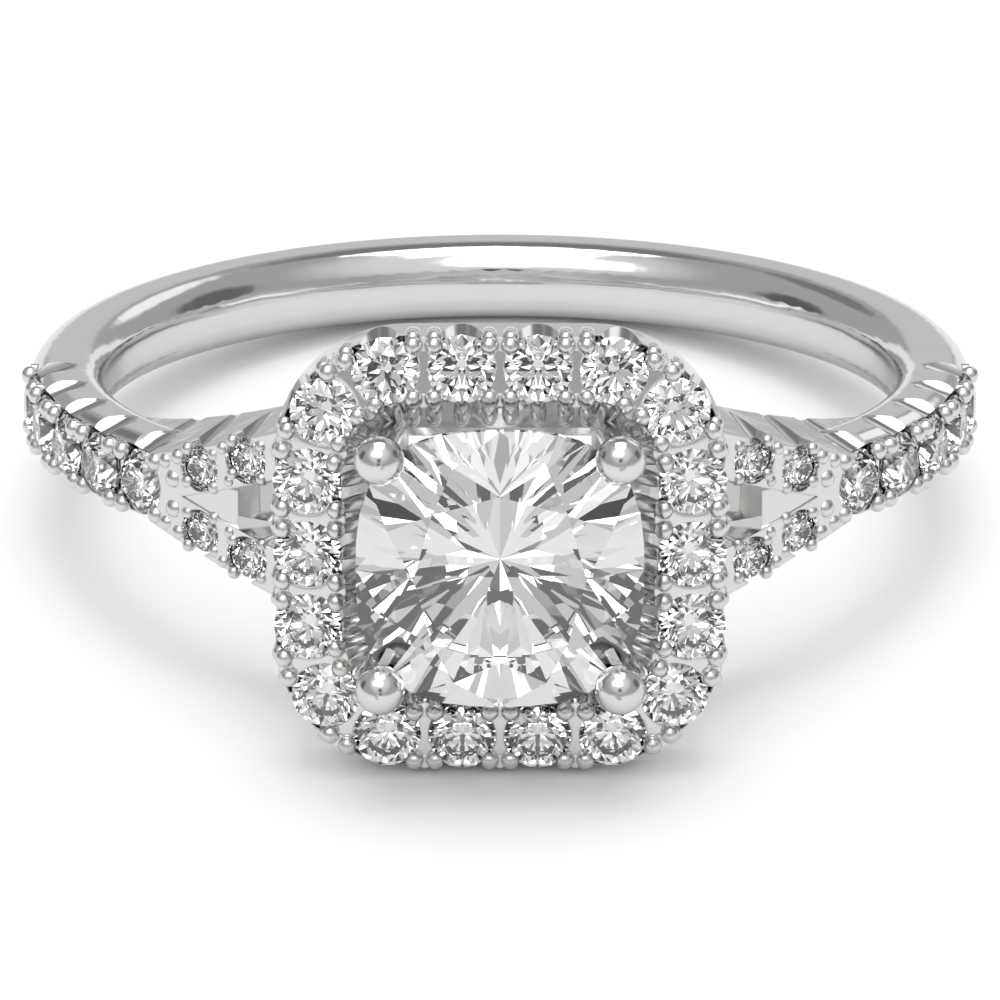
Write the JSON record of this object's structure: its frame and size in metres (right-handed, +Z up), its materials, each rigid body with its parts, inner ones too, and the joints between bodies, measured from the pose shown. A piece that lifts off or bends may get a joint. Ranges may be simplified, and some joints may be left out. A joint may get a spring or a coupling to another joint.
{
  "type": "halo ring",
  "caption": "Finger ring with a cushion-cut centre stone on four prongs, a square halo of small round stones and a split, stone-set shank, lying on its side.",
  "frame": {"origin": "on the floor, under the middle of the lying ring's outline", "axes": "+Z up from the floor, -Y towards the head and +Y towards the back of the band, +X across the finger hole; the finger hole's axis leans about ten degrees from Z"},
  "size_m": [0.0202, 0.0236, 0.009],
  "materials": {
    "metal": "polished white gold",
    "stone": "faceted, clear and colourless"
  },
  "bodies": {
    "root": {"mounting": "metal", "centre_stone": "stone", "halo_stone_1": "stone", "halo_stone_2": "stone", "halo_stone_3": "stone", "halo_stone_4": "stone", "halo_stone_5": "stone", "halo_stone_6": "stone", "halo_stone_7": "stone", "halo_stone_8": "stone", "halo_stone_9": "stone", "halo_stone_10": "stone", "halo_stone_11": "stone", "halo_stone_12": "stone", "halo_stone_13": "stone", "halo_stone_14": "stone", "halo_stone_15": "stone", "halo_stone_16": "stone", "halo_stone_17": "stone", "halo_stone_18": "stone", "left_row_1": "stone", "left_row_2": "stone", "left_row_3": "stone", "left_row_4": "stone", "left_row_5": "stone", "left_upper_1": "stone", "left_upper_2": "stone", "left_lower_1": "stone", "left_lower_2": "stone", "right_row_1": "stone", "right_row_2": "stone", "right_row_3": "stone", "right_row_4": "stone", "right_row_5": "stone", "right_upper_1": "stone", "right_upper_2": "stone", "right_lower_1": "stone", "right_lower_2": "stone"}
  },
  "joints": []
}
